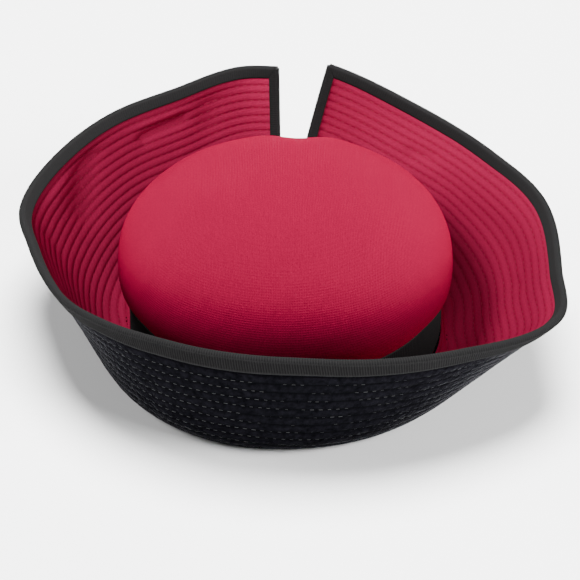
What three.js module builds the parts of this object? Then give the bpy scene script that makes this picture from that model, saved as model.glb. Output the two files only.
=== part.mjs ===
import * as THREE from "three";

// A tilt hat: a rounded cloth crown with a ribbon band, and a wide stitched brim of two
// layers, turned up all round and slashed open in a V at the front, with a bound rim.
// Millimetres, degrees, +Z up. The hat rests on z = 0, and its slashed front faces +Y.
// Angles run counter-clockwise from +X, seen from above, about the middle of the crown.

// Crown
const CROWN_HALF_WIDTH = 87;
const CROWN_HALF_LENGTH = 91;
const CROWN_SQUARENESS = 2.1;
const CROWN_HEIGHT = 95;
const CROWN_FOOT_HEIGHT = 3.5;
const CROWN_SWELL = 7;
const SWELL_START_HEIGHT = 28;
const SWELL_ROUNDNESS = 2.2;
const WIDEST_HEIGHT = 52;
const DOME_FULLNESS = 2.3;
const CROWN_CLOTH = 1.6;

// Soft dents in the top of the crown: place, depth and half-width of each
const CROWN_DENTS = [
  { name: "front dip", x: 6, y: 66, depth: 1.6, spread: 14 },
  { name: "front left hollow", x: -34, y: 34, depth: 1.4, spread: 26 },
];

// Ribbon band round the foot of the crown
const BAND_CLOTH = 1.2;
const BAND_BOTTOM = 11.5;
const BAND_TOP = 28;

// Brim section, from the crown outward: a slope down to the flat ring that the hat rests
// on, then the turned-up wall
const BRIM_LAYER = 1;
const BRIM_FOOT_HEIGHT = 6;
const FLAT_START = 5.5;
const FLAT_END = 11.5;
const HEEL_REACH = 12;
const WALL_STRAIGHTNESS = 0.35;
const SLOPE_SHARE = 0.12;
const FLAT_SHARE = 0.2;

// Rim of the brim, one row for each turn of its wavy edge: distance from the middle of the
// crown, height over the rest plane, and how far the wall below it bows out (or in, below 0)
const RIM = [
  { place: "left tip of the slash", angle: 92.2, reach: 140, height: 88, bow: 0 },
  { place: "left front", angle: 101.3, reach: 150, height: 83, bow: 0 },
  { place: "left front hollow", angle: 116, reach: 150, height: 76, bow: 0 },
  { place: "left front shoulder", angle: 131, reach: 156, height: 70, bow: 0 },
  { place: "left side", angle: 148, reach: 157, height: 64, bow: 0 },
  { place: "left bulge", angle: 165, reach: 155, height: 60, bow: -2 },
  { place: "left hollow", angle: 182, reach: 142, height: 64, bow: -5 },
  { place: "left back corner", angle: 205, reach: 132, height: 63, bow: -9 },
  { place: "left back", angle: 220, reach: 127, height: 68, bow: -6 },
  { place: "back, left of middle", angle: 240, reach: 120, height: 71, bow: 0 },
  { place: "back", angle: 270, reach: 119, height: 72, bow: 0 },
  { place: "back, right of middle", angle: 290, reach: 126, height: 70, bow: 0 },
  { place: "right back", angle: 312, reach: 139, height: 65, bow: 3 },
  { place: "right back corner", angle: 337, reach: 161, height: 57, bow: 4 },
  { place: "right side", angle: 352, reach: 153, height: 59, bow: 0 },
  { place: "right hollow", angle: 372, reach: 150, height: 67, bow: 0 },
  { place: "right front shoulder", angle: 393, reach: 143, height: 69, bow: 0 },
  { place: "right front", angle: 416, reach: 140, height: 76, bow: 0 },
  { place: "right tip of the slash", angle: 439.2, reach: 139, height: 92, bow: 0 },
];

// V slash at the front: its edges at the foot of the brim, where they lift off the ground
const SLASH_LEFT_FOOT_ANGLE = 92;
const SLASH_RIGHT_FOOT_ANGLE = 448.2;
const SLASH_LIFT = 3;
const SLASH_LIFT_SPAN = 20;

// Ribbon binding of the rim and of the slash edges
const BINDING_CLOTH = 1;
const RIM_BINDING_WIDTH = 7;
const SLASH_BINDING_WIDTH = 5;

// Fit of the pieces, and how finely they are stepped
const PIECE_GAP = 0.3;
const CROWN_COLUMNS = 48;
const SWELL_ROWS = 4;
const DOME_ROWS = 8;
const BRIM_COLUMNS = 64;
const SLOPE_ROWS = 2;
const WALL_ROWS = 8;
const STEP = 1e-4;

const HALF_BRIM = BRIM_LAYER + PIECE_GAP / 2;
const LEFT_TIP = RIM[0];
const RIGHT_TIP = RIM[RIM.length - 1];
const mix = THREE.MathUtils.lerp;
const clamp = THREE.MathUtils.clamp;
const radians = THREE.MathUtils.degToRad;

function fromAxis(angle, radius, height) {
  return new THREE.Vector3(radius * Math.cos(angle), radius * Math.sin(angle), height);
}

function steps(count) {
  return Array.from({ length: count + 1 }, (_, i) => i / count);
}

// The same triangles, turned round where they enclose a negative volume
function facingOutward(positions, indices) {
  const corner = (index) => new THREE.Vector3().fromArray(positions, 3 * index);
  let volume = 0;
  for (let i = 0; i < indices.length; i += 3) {
    const [a, b, c] = indices.slice(i, i + 3).map(corner);
    volume += a.dot(b.cross(c));
  }
  return volume > 0 ? indices : indices.reverse();
}

// A closed body swept through loops of points. Each loop runs out along one side of the
// cloth and back along the other, so point i lies across the cloth from point (last - i).
// Each four-sided face is split along its shorter diagonal, alike on both sides.
function sweepLoops(loops, { closed }) {
  const positions = [];
  const indices = [];
  const known = new Map();
  const indexOf = (point) => {
    const key = point.toArray().map((value) => value.toFixed(5)).join();
    if (!known.has(key)) {
      known.set(key, known.size);
      positions.push(point.x, point.y, point.z);
    }
    return known.get(key);
  };
  const addTriangle = (...points) => {
    const corners = points.map(indexOf);
    if (new Set(corners).size === 3) {
      indices.push(...corners);
    }
  };
  const addQuad = (a, b, c, d) => {
    addTriangle(a, b, c);
    addTriangle(a, c, d);
  };

  const last = loops[0].length - 1;
  const spans = closed ? loops.length : loops.length - 1;
  for (let k = 0; k < spans; k += 1) {
    const here = loops[k];
    const next = loops[(k + 1) % loops.length];
    for (let i = 0; i <= last; i += 1) {
      const j = (i + 1) % (last + 1);
      if (here[i].distanceTo(next[j]) < here[j].distanceTo(next[i])) {
        addQuad(here[i], here[j], next[j], next[i]);
      } else {
        addQuad(here[j], next[j], next[i], here[i]);
      }
    }
  }
  if (!closed) {
    const start = loops[0];
    const end = loops[loops.length - 1];
    for (let i = 0; i < (last - 1) / 2; i += 1) {
      addQuad(start[i + 1], start[i], start[last - i], start[last - i - 1]);
      addQuad(end[i], end[i + 1], end[last - i - 1], end[last - i]);
    }
  }

  const geometry = new THREE.BufferGeometry();
  geometry.setAttribute("position", new THREE.Float32BufferAttribute(positions, 3));
  geometry.setIndex(facingOutward(positions, indices));
  geometry.computeVertexNormals();
  return geometry;
}

// Distance from the axis to the outside of the crown's foot
function crownFootRadius(angle) {
  const across = Math.abs(Math.cos(angle) / CROWN_HALF_WIDTH) ** CROWN_SQUARENESS;
  const along = Math.abs(Math.sin(angle) / CROWN_HALF_LENGTH) ** CROWN_SQUARENESS;
  return (across + along) ** (-1 / CROWN_SQUARENESS);
}

// The outside of the crown in rows from its foot to the middle of its top: how far a row
// stands out from the foot's outline, what share of the radius is left, and its height
function crownRows() {
  const foot = { out: 0, share: 1, height: CROWN_FOOT_HEIGHT };
  const swell = steps(SWELL_ROWS).map((rise) => ({
    out: CROWN_SWELL * (1 - (1 - rise) ** SWELL_ROUNDNESS),
    share: 1,
    height: mix(SWELL_START_HEIGHT, WIDEST_HEIGHT, rise),
  }));
  const dome = steps(DOME_ROWS).slice(1).map((climb) => {
    const turn = climb * (Math.PI / 2);
    return {
      out: CROWN_SWELL,
      share: climb === 1 ? 0 : Math.cos(turn) ** (2 / DOME_FULLNESS),
      height: mix(WIDEST_HEIGHT, CROWN_HEIGHT, Math.sin(turn) ** (2 / DOME_FULLNESS)),
    };
  });
  return [foot, ...swell, ...dome];
}

// Direction out of the cloth at each row, as a unit step outward and upward
function crownRowNormals(rows) {
  const reach = rows.map((row) => (CROWN_HALF_WIDTH + row.out) * row.share);
  return rows.map((row, i) => {
    if (row.share === 0) {
      return new THREE.Vector2(0, 1);
    }
    const before = Math.max(i - 1, 0);
    const after = i + 1;
    const rise = rows[after].height - rows[before].height;
    return new THREE.Vector2(rise, reach[before] - reach[after]).normalize();
  });
}

function dentDepth(point) {
  const onTop = clamp((point.z - WIDEST_HEIGHT) / 15, 0, 1);
  const depths = CROWN_DENTS.map((dent) => {
    const away = Math.hypot(point.x - dent.x, point.y - dent.y) / dent.spread;
    return dent.depth * Math.exp(-(away ** 2));
  });
  return onTop * depths.reduce((sum, depth) => sum + depth);
}

function crownGeometry() {
  const rows = crownRows();
  const normals = crownRowNormals(rows);
  const pointOn = (angle, row, normal, inset) => {
    const radius = (crownFootRadius(angle) + row.out) * row.share;
    const point = fromAxis(angle, radius - inset * normal.x, row.height - inset * normal.y);
    point.z -= dentDepth(point);
    return point;
  };
  const loops = steps(CROWN_COLUMNS).slice(1).map((turn) => {
    const angle = turn * 2 * Math.PI;
    const outside = rows.map((row, i) => pointOn(angle, row, normals[i], 0));
    const inside = rows.map((row, i) => pointOn(angle, row, normals[i], CROWN_CLOTH));
    inside[0].z = CROWN_FOOT_HEIGHT;
    return [...outside, ...inside.reverse()];
  });
  return sweepLoops(loops, { closed: true });
}

function bandGeometry() {
  const loops = steps(CROWN_COLUMNS).slice(1).map((turn) => {
    const angle = turn * 2 * Math.PI;
    const inner = crownFootRadius(angle) + PIECE_GAP;
    const outer = inner + BAND_CLOTH;
    return [
      fromAxis(angle, outer, BAND_BOTTOM),
      fromAxis(angle, outer, BAND_TOP),
      fromAxis(angle, inner, BAND_TOP),
      fromAxis(angle, inner, BAND_BOTTOM),
    ];
  });
  return sweepLoops(loops, { closed: true });
}

// Smooth curve through the rows of the rim, for each of its sizes
function rimAt(angle) {
  const found = RIM.findIndex((row) => row.angle > angle);
  const next = found < 0 ? RIM.length - 1 : Math.max(found, 1);
  const rows = [next - 2, next - 1, next, next + 1].map((i) => RIM[clamp(i, 0, RIM.length - 1)]);
  const [before, start, end, after] = rows;
  const width = end.angle - start.angle;
  const t = clamp((angle - start.angle) / width, 0, 1);
  const blend = (size) => {
    const startSlope = (end[size] - before[size]) / (end.angle - before.angle);
    const endSlope = (after[size] - start[size]) / (after.angle - start.angle);
    const fromStart = (2 * t ** 3 - 3 * t ** 2 + 1) * start[size] + (t - 1) ** 2 * t * width * startSlope;
    const fromEnd = (3 * t ** 2 - 2 * t ** 3) * end[size] + (t - 1) * t ** 2 * width * endSlope;
    return fromStart + fromEnd;
  };
  return { reach: blend("reach"), height: blend("height"), bow: blend("bow") };
}

// How far the foot of the brim lifts off the ground beside the slash
function slashLift(angle) {
  const slashAngle = (SLASH_LEFT_FOOT_ANGLE + SLASH_RIGHT_FOOT_ANGLE - 360) / 2;
  const away = Math.min(Math.abs(angle - slashAngle), Math.abs(angle - slashAngle - 360));
  return SLASH_LIFT * Math.cos(clamp(away / SLASH_LIFT_SPAN, 0, 1) * (Math.PI / 2)) ** 2;
}

// Middle of the brim's thickness: how far out from the crown's foot, and how high
function brimSection(climb, rimOut, rimHeight, bow) {
  if (climb < SLOPE_SHARE) {
    const u = climb / SLOPE_SHARE;
    const start = PIECE_GAP + HALF_BRIM;
    return { out: mix(start, FLAT_START, u), height: HALF_BRIM + BRIM_FOOT_HEIGHT * (1 - u) ** 2 };
  }
  if (climb < FLAT_SHARE) {
    const u = (climb - SLOPE_SHARE) / (FLAT_SHARE - SLOPE_SHARE);
    return { out: mix(FLAT_START, FLAT_END, u), height: HALF_BRIM };
  }
  const u = (climb - FLAT_SHARE) / (1 - FLAT_SHARE);
  const start = new THREE.Vector2(FLAT_END, HALF_BRIM);
  const heel = new THREE.Vector2(FLAT_END + HEEL_REACH, HALF_BRIM);
  const rim = new THREE.Vector2(rimOut, rimHeight);
  const lean = heel.clone().lerp(rim, WALL_STRAIGHTNESS);
  lean.x += bow;
  const point = new THREE.CubicBezierCurve(start, heel, lean, rim).getPoint(u);
  return { out: point.x, height: point.y };
}

// Point in the middle of the brim: turn runs from the left slash edge (0) round the back to
// the right one (1), and climb from the crown (0) up to the rim (1)
function brimPoint(turn, climb) {
  const rimAngle = mix(LEFT_TIP.angle, RIGHT_TIP.angle, turn);
  const rim = rimAt(rimAngle);
  const rimOut = rim.reach - crownFootRadius(radians(rimAngle));
  const section = brimSection(climb, rimOut, rim.height, rim.bow);
  const rise = climb < FLAT_SHARE ? 0 : (section.height - HALF_BRIM) / (rim.height - HALF_BRIM);
  const leftAngle = mix(SLASH_LEFT_FOOT_ANGLE, LEFT_TIP.angle, rise);
  const rightAngle = mix(SLASH_RIGHT_FOOT_ANGLE, RIGHT_TIP.angle, rise);
  const angle = mix(leftAngle, rightAngle, turn);
  const radius = crownFootRadius(radians(angle)) + section.out;
  const height = section.height + slashLift(angle) * (1 - climb);
  return fromAxis(radians(angle), radius, height);
}

// Directions at a point of the brim: along the rim, up the wall, and out of the facing
function brimAxes(turn, climb) {
  const span = (low, high) => high.sub(low).normalize();
  const before = clamp(turn - STEP, 0, 1);
  const after = clamp(turn + STEP, 0, 1);
  const along = span(brimPoint(before, climb), brimPoint(after, climb));
  const up = span(brimPoint(turn, Math.max(climb - STEP, 0)), brimPoint(turn, climb + STEP));
  const normal = up.clone().cross(along).normalize();
  return { along, up, normal };
}

// Share of the way down from the rim, or in from a slash edge, at which a leg of the
// binding ends: its width is measured straight across the brim
function shareAtDistance(pointAt, width) {
  let low = 0;
  let high = 0.5;
  for (let i = 0; i < 40; i += 1) {
    const middle = (low + high) / 2;
    if (pointAt(middle).distanceTo(pointAt(0)) < width) {
      low = middle;
    } else {
      high = middle;
    }
  }
  return low;
}

// Where the rim's ribbon ends below the rim, as a value of climb
function rimHem(turn) {
  return 1 - shareAtDistance((drop) => brimPoint(turn, 1 - drop), RIM_BINDING_WIDTH);
}

// Where the slash's ribbon ends beside its edge, as a value of turn
function slashHem(edgeTurn, climb) {
  const inward = edgeTurn === 0 ? 1 : -1;
  const pointAt = (share) => brimPoint(edgeTurn + inward * share, climb);
  return edgeTurn + inward * shareAtDistance(pointAt, SLASH_BINDING_WIDTH);
}

// Heights at which the brim is stepped: down the slope, up the wall to the ribbon's hem,
// and the rim
function brimRows(turn) {
  const slope = steps(SLOPE_ROWS).map((share) => share * SLOPE_SHARE);
  const wall = steps(WALL_ROWS).map((share) => mix(FLAT_SHARE, rimHem(turn), share));
  return [...slope, ...wall, 1];
}

// One layer of the brim, between two distances from the middle of its thickness
function brimLayerGeometry(near, far) {
  const loops = steps(BRIM_COLUMNS).map((turn) => {
    const side = (distance) => brimRows(turn).map((climb) => {
      const { normal } = brimAxes(turn, climb);
      return brimPoint(turn, climb).addScaledVector(normal, distance);
    });
    return [...side(far), ...side(near).reverse()];
  });
  return sweepLoops(loops, { closed: false });
}

// Section of the folded ribbon over an edge of the brim, from its hem on the facing, over
// the edge, to its hem on the underside, and back inside the fold
function bindingLoop(edge, hem, outward, shift) {
  const inside = HALF_BRIM + PIECE_GAP;
  const outside = inside + BINDING_CLOTH;
  const shoulder = HALF_BRIM + PIECE_GAP / 2;
  const nose = PIECE_GAP + 0.05;
  const at = (place, normalDistance, outwardDistance = 0) => brimPoint(place.turn, place.climb)
    .addScaledVector(brimAxes(place.turn, place.climb).normal, normalDistance)
    .addScaledVector(outward, outwardDistance)
    .add(shift);
  return [
    at(hem, outside),
    at(edge, outside),
    at(edge, shoulder, nose + BINDING_CLOTH),
    at(edge, -shoulder, nose + BINDING_CLOTH),
    at(edge, -outside),
    at(hem, -outside),
    at(hem, -inside),
    at(edge, -inside),
    at(edge, -shoulder, nose),
    at(edge, shoulder, nose),
    at(edge, inside),
    at(hem, inside),
  ];
}

// Mitred section at a tip of the slash, moved half a gap towards the piece that it ends
function mitreLoop(edgeTurn, ribbon) {
  const edge = { turn: edgeTurn, climb: 1 };
  const hemClimb = rimHem(slashHem(edgeTurn, 1));
  const hem = { turn: slashHem(edgeTurn, hemClimb), climb: hemClimb };
  const { along, up, normal } = brimAxes(edge.turn, edge.climb);
  const sideways = along.multiplyScalar(edgeTurn === 0 ? -1 : 1);
  const outward = sideways.clone().add(up).divideScalar(1 + sideways.dot(up));
  const fold = brimPoint(hem.turn, hem.climb).sub(brimPoint(edge.turn, edge.climb));
  const across = fold.cross(normal).normalize();
  const sense = Math.sign(across.dot(sideways)) * (ribbon === "slash" ? 1 : -1);
  return bindingLoop(edge, hem, outward, across.multiplyScalar((sense * PIECE_GAP) / 2));
}

function rimBindingGeometry() {
  const still = new THREE.Vector3();
  const loops = steps(BRIM_COLUMNS).slice(1, -1).map((turn) => {
    const hem = { turn, climb: rimHem(turn) };
    return bindingLoop({ turn, climb: 1 }, hem, brimAxes(turn, 1).up, still);
  });
  return sweepLoops([mitreLoop(0, "rim"), ...loops, mitreLoop(1, "rim")], { closed: false });
}

function slashBindingGeometry(edgeTurn) {
  const still = new THREE.Vector3();
  const loops = brimRows(edgeTurn).slice(1, -2).map((climb) => {
    const hem = { turn: slashHem(edgeTurn, climb), climb };
    const outward = brimAxes(edgeTurn, climb).along.multiplyScalar(edgeTurn === 0 ? -1 : 1);
    return bindingLoop({ turn: edgeTurn, climb }, hem, outward, still);
  });
  return sweepLoops([...loops, mitreLoop(edgeTurn, "slash")], { closed: false });
}

function piece(name, geometry, material) {
  const mesh = new THREE.Mesh(geometry, material.clone());
  mesh.name = name;
  return mesh;
}

const raspberryCloth = new THREE.MeshStandardMaterial({ color: 0xb4264c, roughness: 0.9, metalness: 0 });
const blackVelvet = new THREE.MeshStandardMaterial({ color: 0x121114, roughness: 0.95, metalness: 0 });
const blackRibbon = new THREE.MeshStandardMaterial({ color: 0x1d1c1f, roughness: 0.75, metalness: 0 });

const crown = new THREE.Group();
crown.add(
  piece("crown", crownGeometry(), raspberryCloth),
  piece("crown_band", bandGeometry(), blackRibbon),
);

const brim = new THREE.Group();
brim.add(
  piece("brim_facing", brimLayerGeometry(PIECE_GAP / 2, HALF_BRIM), raspberryCloth),
  piece("brim_underside", brimLayerGeometry(-HALF_BRIM, -PIECE_GAP / 2), blackVelvet),
  piece("rim_binding", rimBindingGeometry(), blackRibbon),
  piece("notch_binding_left", slashBindingGeometry(0), blackRibbon),
  piece("notch_binding_right", slashBindingGeometry(1), blackRibbon),
);

// The origin lies on the rest plane, under the middle of the hat's box
const hat = new THREE.Group();
hat.add(crown, brim);
const middle = new THREE.Box3().setFromObject(hat).getCenter(new THREE.Vector3());
hat.position.set(-middle.x, -middle.y, 0);

export default hat;
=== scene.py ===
import math
import bpy
import numpy as np
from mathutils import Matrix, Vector


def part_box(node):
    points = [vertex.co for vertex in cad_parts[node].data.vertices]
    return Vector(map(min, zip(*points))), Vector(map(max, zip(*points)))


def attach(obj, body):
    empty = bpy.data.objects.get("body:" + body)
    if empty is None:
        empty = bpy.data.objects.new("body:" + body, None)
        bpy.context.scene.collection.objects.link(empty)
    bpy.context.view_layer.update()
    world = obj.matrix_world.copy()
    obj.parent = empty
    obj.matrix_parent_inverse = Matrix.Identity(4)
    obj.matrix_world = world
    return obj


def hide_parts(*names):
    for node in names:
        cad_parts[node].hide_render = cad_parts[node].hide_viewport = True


# A tilt hat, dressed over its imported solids. Sizes are in millimetres and the tables' angles in
# degrees about the axis of the crown. make_mesh turns points into metres in the row frame.

MM = 0.001
SEED = 7

# Crown
CROWN_HALF_WIDTH = 87
CROWN_HALF_LENGTH = 91
CROWN_SQUARENESS = 2.1
CROWN_HEIGHT = 95
CROWN_FOOT_HEIGHT = 3.5
CROWN_SWELL = 7
SWELL_START_HEIGHT = 28
SWELL_ROUNDNESS = 2.2
WIDEST_HEIGHT = 52
DOME_FULLNESS = 2.3
CROWN_CLOTH = 1.6
CROWN_COLUMNS = 400
CROWN_WALL_ROWS = 14
CROWN_SWELL_ROWS = 18
CROWN_DOME_ROWS = 90
CROWN_INSIDE_STEP = 6

# Heights over which the crown's unevenness and its dents grow to their full depth
UNEVEN_FADE_HEIGHT = 20
DENT_FADE_HEIGHT = 15

# At the back the crown draws in further up, over a taller part of the band. Start and spread
# say where round the crown that begins and how softly.
BACK_START = 0.1
BACK_SPREAD = 0.5
BACK_RISE = 10
BACK_WIDEST_RISE = 6

# Soft dents (depth above 0) and bumps (below 0) in the crown, at x and y from its axis
CROWN_DENTS = [
    {"name": "front dip", "x": 6.5, "y": 83, "depth": 1.7, "spread": 11},
    {"name": "left of the dip", "x": -12, "y": 82, "depth": -0.8, "spread": 13},
    {"name": "right of the dip", "x": 27, "y": 80, "depth": -1.5, "spread": 14},
    {"name": "front left hollow", "x": -34, "y": 34, "depth": 1.4, "spread": 26},
    {"name": "left top swelling", "x": -46, "y": 4, "depth": -0.5, "spread": 20},
    {"name": "right top hollow", "x": 46, "y": 20, "depth": 0.6, "spread": 22},
    {"name": "back right hollow", "x": 30, "y": -40, "depth": 0.5, "spread": 24},
]

# Ribbon band round the foot of the crown. The rows of its rounded edge give how far in from its
# outer face and how far from the edge each point lies.
BAND_CLOTH = 1.2
BAND_BOTTOM = 11.5
BAND_TOP = 29.7
BAND_MIDDLE = 20
BAND_RIBS = 400
BAND_RIB_MARGIN = 1.2
BAND_EDGE = [
    {"inset": 0.35, "from_edge": 0},
    {"inset": 0.1, "from_edge": 0.15},
    {"inset": 0, "from_edge": 0.5},
]

# Brim section, from the crown outward
BRIM_LAYER = 1
BRIM_FOOT_HEIGHT = 6
FLAT_START = 5.5
FLAT_END = 11.5
HEEL_REACH = 12
WALL_STRAIGHTNESS = 0.35
SLOPE_SHARE = 0.12
FLAT_SHARE = 0.2
PIECE_GAP = 0.3
HALF_BRIM = BRIM_LAYER + PIECE_GAP / 2

# Samples for measuring lengths: along the brim's flat part, up its wall and along its rim
FLAT_SAMPLES = 60
WALL_SAMPLES = 180
RIM_SAMPLES = 4001

# Rim of the brim, as in the part's source. Reach is its distance from the crown's axis, and bow
# is how far the wall below it swells out.
RIM = [
    {"place": "left tip of the slash", "angle": 92.2, "reach": 140, "height": 88, "bow": 0},
    {"place": "left front", "angle": 101.3, "reach": 150, "height": 83, "bow": 0},
    {"place": "left front hollow", "angle": 116, "reach": 150, "height": 76, "bow": 0},
    {"place": "left front shoulder", "angle": 131, "reach": 156, "height": 70, "bow": 0},
    {"place": "left side", "angle": 148, "reach": 157, "height": 64, "bow": 0},
    {"place": "left bulge", "angle": 165, "reach": 155, "height": 60, "bow": -2},
    {"place": "left hollow", "angle": 182, "reach": 142, "height": 64, "bow": -5},
    {"place": "left back corner", "angle": 205, "reach": 132, "height": 63, "bow": -9},
    {"place": "left back", "angle": 220, "reach": 127, "height": 68, "bow": -6},
    {"place": "back, left of middle", "angle": 240, "reach": 120, "height": 71, "bow": 0},
    {"place": "back", "angle": 270, "reach": 119, "height": 72, "bow": 0},
    {"place": "back, right of middle", "angle": 290, "reach": 126, "height": 70, "bow": 0},
    {"place": "right back", "angle": 312, "reach": 139, "height": 65, "bow": 3},
    {"place": "right back corner", "angle": 337, "reach": 161, "height": 57, "bow": 4},
    {"place": "right side", "angle": 352, "reach": 153, "height": 59, "bow": 0},
    {"place": "right hollow", "angle": 372, "reach": 150, "height": 67, "bow": 0},
    {"place": "right front shoulder", "angle": 393, "reach": 143, "height": 69, "bow": 0},
    {"place": "right front", "angle": 416, "reach": 140, "height": 76, "bow": 0},
    {"place": "right tip of the slash", "angle": 439.2, "reach": 139, "height": 92, "bow": 0},
]

# V slash at the front
SLASH_LEFT_FOOT_ANGLE = 92
SLASH_RIGHT_FOOT_ANGLE = 448.2
SLASH_LIFT = 3
SLASH_LIFT_SPAN = 20

# Rows of stitching on the brim, measured down from the rim. Their distance changes round the
# brim; turn runs from the left edge of the slash (0) round the back to its right edge (1).
ROW_START = 10.4
ROW_PITCHES = [
    {"turn": 0, "pitch": 4.6},
    {"turn": 0.1, "pitch": 4.8},
    {"turn": 0.2, "pitch": 5.1},
    {"turn": 0.32, "pitch": 5.5},
    {"turn": 0.44, "pitch": 5.7},
    {"turn": 0.54, "pitch": 6.2},
    {"turn": 0.8, "pitch": 6.2},
    {"turn": 0.89, "pitch": 5.1},
    {"turn": 1, "pitch": 4.8},
]
STEPS_PER_ROW = 8
STEPS_TO_FIRST_ROW = 14
BRIM_COLUMNS = 560
BACK_ROW_STEP = 8
BACK_COLUMN_STEP = 4
PUFF_ROUNDNESS = 0.5
PUCKER = 0.06

# Least height of the underside and its stitches above the floor
FLOOR_GAP = 0.05

# The brim's two cloths. Top is the height of the puffs out of the middle of the brim, and
# drawn_in is how deep the least visible stitches lie. The ribbon's edge covers the first row of
# stitches on the underside.
BRIM_SIDES = {
    "facing": {
        "sign": 1, "top": 1.3, "puff_depth": 0.95,
        "stitch_radius": 0.17, "drawn_in": 0.05, "covered_rows": 0,
    },
    "underside": {
        "sign": -1, "top": 1.15, "puff_depth": 0.28,
        "stitch_radius": 0.2, "drawn_in": 0.24, "covered_rows": 1,
    },
}

# Stitches. Each runs through four points: how far along it, how thick and how far out of the
# cloth.
STITCH_PITCH = 4.6
STITCH_LENGTH = 2.6
STITCH_POINTS = [
    {"along": -0.5, "fatness": 0.45, "lift": -0.16},
    {"along": -0.3, "fatness": 1, "lift": 0.04},
    {"along": 0.3, "fatness": 1, "lift": 0.04},
    {"along": 0.5, "fatness": 0.45, "lift": -0.16},
]
STITCH_SIDES = 5
STITCH_WANDER = 0.12
STITCH_LENGTH_RANGE = (0.85, 1.1)
STITCH_RISE_SHARE = 0.3
STITCH_VARIETY = 0.3

# The stitches show most on one side of the hat
SHOWN_STITCHES_X = -55
SHOWN_STITCHES_SPREAD = 45

# Rows end short of the slash, in millimetres, and above the brim's foot, in steps of a row.
# The shortest row is a number of columns.
ROW_END = 0.2
SLASH_INSET = 6
FOOT_STEPS = 2
SHORTEST_ROW = 8

# A direction that no stitch runs along
SLANT = (0.37, -0.48, 0.79)

# Dents (depth above 0) and bulges (below 0) pressed into the turned-up brim, each along a line
# between two places, given as turns and drops below the rim. The whole brim gives way softly,
# and the facing alone a little more sharply.
WHOLE_DENT_SHARE = 0.65
WHOLE_DENT_SPREAD = 1.5
FACING_DENT_SHARE = 0.45
FACING_DENT_LIMIT = 0.9
FACING_LEAST = 0.3
DENTS_START = 8.5
UNEVEN_START = 9
FADE_LENGTH = 6
BRIM_DENTS = [
    {"place": "left front dent", "turns": (0.068, 0.097), "drops": (17, 20), "depth": 2.6, "width": 3},
    {"place": "bulge above it", "turns": (0.07, 0.095), "drops": (11, 12), "depth": -1.4, "width": 5},
    {"place": "left front valley", "turns": (0.045, 0.05), "drops": (8, 26), "depth": 1.5, "width": 7},
    {"place": "left side valley", "turns": (0.14, 0.165), "drops": (12, 34), "depth": 2.2, "width": 9},
    {"place": "left side bulge", "turns": (0.17, 0.18), "drops": (12, 14), "depth": -1.4, "width": 7},
    {"place": "left side kink", "turns": (0.2125, 0.2133), "drops": (22, 32), "depth": 0.9, "width": 5},
    {"place": "right front dent", "turns": (0.921, 0.907), "drops": (27, 24), "depth": 1.3, "width": 4},
    {"place": "right side dent", "turns": (0.774, 0.76), "drops": (45, 36), "depth": 1.0, "width": 4},
    {"place": "right hollow", "turns": (0.79, 0.81), "drops": (15, 30), "depth": 0.8, "width": 12},
    {"place": "beside the slash", "turns": (0.0058, 0.0067), "drops": (8, 30), "depth": 0.2, "width": 0.7},
]

# Ribbon binding of the rim and of the slash edges
RIBBON_TOP = 2.15
RIBBON_NOSE = 1.7
RIBBON_THICKNESS = 0.55
FACING_LEG = 5.6
FACING_LEG_GROWTH = 1.2
UNDERSIDE_LEG = 9
SLASH_LEG = 4.4
LEAST_LEG = 0.05
SLASH_RIBBON_END = 1
RIB_PITCH = 1.4
SAMPLES_PER_RIB = 4
RIB_DEPTH = 0.4
FACING_RIB_SHARE = 0.3
RIBBED_START = 0.05
RIBBED_END = 0.9

# Section points of a leg of the folded ribbon: how far in from the brim's edge, as a share of
# the leg, and how far above the ribbon's top
LEG_POINTS = [
    {"share": 1, "height": -0.75},
    {"share": 0.985, "height": -0.3},
    {"share": 0.93, "height": -0.05},
    {"share": 0.8, "height": 0.06},
    {"share": 0.55, "height": 0.1},
    {"share": 0.3, "height": 0.1},
    {"share": 0.12, "height": 0.05},
    {"share": 0, "height": 0},
]
FOLD_ANGLES = (20, 40, 60, 75, 90, 105, 120, 140, 160)
HIDDEN_EDGE = 1.2

# Small unevenness of the pieces: a sum of waves in space
WAVES = 7
WAVE_LENGTH_RANGE = (0.7, 1.5)
WAVE_PEAK = 1.4
UNEVEN = {
    "crown_broad": {"height": 0.35, "wavelength": 70, "seed": 1},
    "crown_fine": {"height": 0.12, "wavelength": 22, "seed": 2},
    "band_bottom": {"height": 0.2, "wavelength": 60, "seed": 3},
    "band_top": {"height": 0.25, "wavelength": 80, "seed": 4},
    "facing_leg": {"height": 0.15, "wavelength": 40, "seed": 5},
    "underside_leg": {"height": 0.2, "wavelength": 50, "seed": 6},
    "underside_broad": {"height": 0.05, "wavelength": 16, "seed": 10},
    "underside_fine": {"height": 0.05, "wavelength": 7, "seed": 12},
    "facing_broad": {"height": 0.05, "wavelength": 16, "seed": 12},
    "facing_fine": {"height": 0.05, "wavelength": 7, "seed": 14},
    "stitches": {"height": 0.6, "wavelength": 18, "seed": 15},
}
STITCH_SEED = 20

# Groups of pieces that a light falls on
RIBBON_PIECES = ("rim_ribbon", "notch_ribbon_left", "notch_ribbon_right")
LIT_PIECES = {
    "crown": ("crown_cloth",),
    "facing": ("brim_facing_cloth", "stitches_facing"),
    "outside": ("brim_velvet", "stitches_underside", "band_ribbon", "floor", *RIBBON_PIECES),
    "ribbon": (*RIBBON_PIECES, "band_ribbon"),
    "floor": ("floor",),
}

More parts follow.
